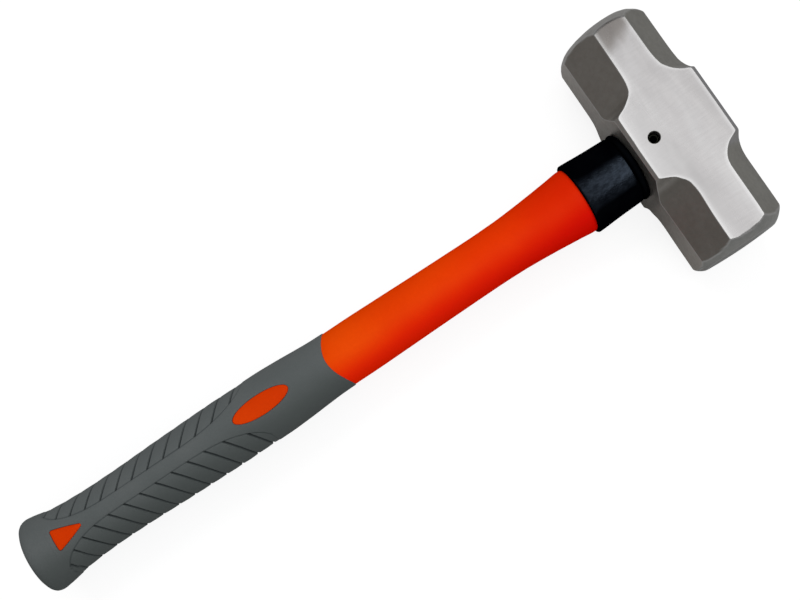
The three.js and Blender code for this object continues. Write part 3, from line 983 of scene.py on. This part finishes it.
def triangle_outline(inset):
    """Points round the triangular window, seen square on, with round corners and bowed sides."""
    pts = np.array(TRIANGLE)
    out = []
    for i in range(3):
        here, before, after = pts[i], pts[i - 1], pts[(i + 1) % 3]
        u = (before - here) / np.linalg.norm(before - here)
        v = (after - here) / np.linalg.norm(after - here)
        half = math.acos(np.clip(u @ v, -1, 1)) / 2
        middle = (u + v) / np.linalg.norm(u + v)
        hub = here + middle * WINDOW_CORNER / math.sin(half)
        start = here + u * WINDOW_CORNER / math.tan(half) - hub
        stop = here + v * WINDOW_CORNER / math.tan(half) - hub
        first = math.atan2(start[1], start[0])
        sweep = (math.atan2(stop[1], stop[0]) - first + math.pi) % (2 * math.pi) - math.pi
        for a in evenly(first, first + sweep, 8):
            out.append(hub + (WINDOW_CORNER - inset) * np.array([math.cos(a), math.sin(a)]))
    dense = []
    for i, here in enumerate(out):
        after = out[(i + 1) % len(out)]
        parts = max(1, int(np.linalg.norm(after - here) / 0.8))
        for k in range(parts):
            dense.append(here + (after - here) * k / parts)
    dense = np.array(dense)
    bow = WINDOW_BOW * np.sin(np.clip((dense[:, 0] - BOW_START) / BOW_LENGTH, 0, 1) * math.pi)
    dense[:, 1] += np.sign(dense[:, 1] - pts.mean(0)[1]) * bow + WINDOW_MIDDLE
    return dense


OUTLINES = {"oval": oval_outline, "triangle": triangle_outline}


def window_cutter(kind, upper):
    """A block that follows the window's outline through the grip's wall."""
    outline = OUTLINES[kind](0.0)
    rings = [on_grip(outline[:, 0], outline[:, 1], lift, upper) for lift in (3.0, -5.2)]
    return put("window_cutter", *loft(rings), None)


def window_pad(kind, upper):
    """A raised pad of the orange jacket that fills a window and stands a little domed."""
    outline = OUTLINES[kind](PAD_GAP)
    centre = outline.mean(0)
    if kind == "triangle":
        centre = np.array([TRIANGLE_PEAK, WINDOW_MIDDLE])
    edge, rise, power, share = PADS[kind]
    rings = []
    for lift in (-4.6, -2.0, -edge - 0.35):
        rings.append(on_grip(outline[:, 0], outline[:, 1], lift, upper))
    lip = centre + (outline - centre) * 0.988
    rings.append(on_grip(lip[:, 0], lip[:, 1], -edge - 0.1, upper))
    for t in (0.965, 0.93, 0.87, 0.79, 0.7, 0.6, 0.5, 0.4, 0.3, 0.2, 0.1):
        flat = centre + (outline - centre) * t
        dome = share * (1 - t ** power) + (1 - share) * (1 - t ** 2)
        rings.append(on_grip(flat[:, 0], flat[:, 1], rise * dome - edge, upper))
    return loft(rings)


def handle_jacket(material):
    """The orange jacket, with the pads that show in the grip's windows."""
    count = 160
    xs = evenly(-366, -200, 40) + evenly(-198, -27, 110)
    rings = [oval_ring(x, float(shaft_width(x)), count) for x in xs]
    parts = [loft(rings)]
    for upper in (True, False):
        parts.append(window_pad("oval", upper))
        parts.append(window_pad("triangle", upper))
    points, faces, base = [], [], 0
    for p, f in parts:
        points.append(p)
        faces += [tuple(i + base for i in face) for face in f]
        base += len(p)
    put("handle_jacket_moulded", np.concatenate(points), faces, material, 45, "jacket_orange",
        ("handle_jacket",))


# ---- stage ----------------------------------------------------------------------------------------

def stage():
    """The floor, the even light, three softboxes and the camera."""
    scene = bpy.context.scene
    bpy.ops.mesh.primitive_plane_add(size=12, location=(0, 0, 0))
    floor = bpy.context.object
    floor.name = "floor"
    floor.data.materials.append(floor_paint())

    world = bpy.data.worlds.new("studio")
    scene.world = world
    world.use_nodes = True
    world.node_tree.nodes["Background"].inputs["Color"].default_value = (0.97, 0.98, 1.0, 1)
    world.node_tree.nodes["Background"].inputs["Strength"].default_value = 0.32

    def softbox(name, place, target, size, radiance, mirrored=True):
        data = bpy.data.lights.new(name, "AREA")
        data.shape = "RECTANGLE"
        data.size, data.size_y = size
        data.energy = radiance * math.pi * size[0] * size[1]
        lamp = bpy.data.objects.new(name, data)
        scene.collection.objects.link(lamp)
        lamp.visible_glossy = mirrored
        lamp.location = place
        away = np.array(place) - np.array(target)
        lamp.rotation_euler = Vector(away).to_track_quat("Z", "Y").to_euler()

    softbox("softbox_above", (0.42, -0.055, 1.25), (0.42, -0.055, 0), (1.2, 1.15), 1.25)
    softbox("softbox_side", (-0.1, 0.82, 1.15), (-0.1, 0, 0), (1.2, 0.6), 3.2, False)
    softbox("softbox_low", (-0.05, -0.95, 0.55), (-0.1, 0, 0), (0.9, 0.4), 3.0, False)

    data = bpy.data.cameras.new("camera")
    data.lens = 45
    data.sensor_width = 36
    data.shift_x = -0.025
    data.shift_y = 0.1375
    camera = bpy.data.objects.new("camera", data)
    scene.collection.objects.link(camera)
    # The camera's own axes and its place, chosen so that the render lines up with the photo.
    right = (0.83389, -0.54724, -0.07183)
    up = (0.55092, 0.83316, 0.04831)
    back = (0.03341, -0.07986, 0.99625)
    place = (-0.15498, -0.08148, 0.50627)
    camera.matrix_world = Matrix([
        (right[0], up[0], back[0], place[0]),
        (right[1], up[1], back[1], place[1]),
        (right[2], up[2], back[2], place[2]),
        (0, 0, 0, 1),
    ])
    scene.camera = camera
    scene.view_settings.view_transform = "Standard"


# ---- build ----------------------------------------------------------------------------------------

hammer_head(steel())
spring_pin(dark_pin())
eye_cap(black_plastic("plastic_cap", "060607", "0d0d0f", (0.4, 0.6), 0.2))
washer(black_plastic("rubber_black", "010103", "020304", (0.5, 0.65), 0.05))
collar(collar_plastic())
handle_jacket(orange())
grip_sleeve(rubber_grey())
for node, paint in (("eye_resin", resin()), ("fibreglass_core", fibreglass())):
    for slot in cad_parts[node].material_slots:
        slot.material = paint
stage()
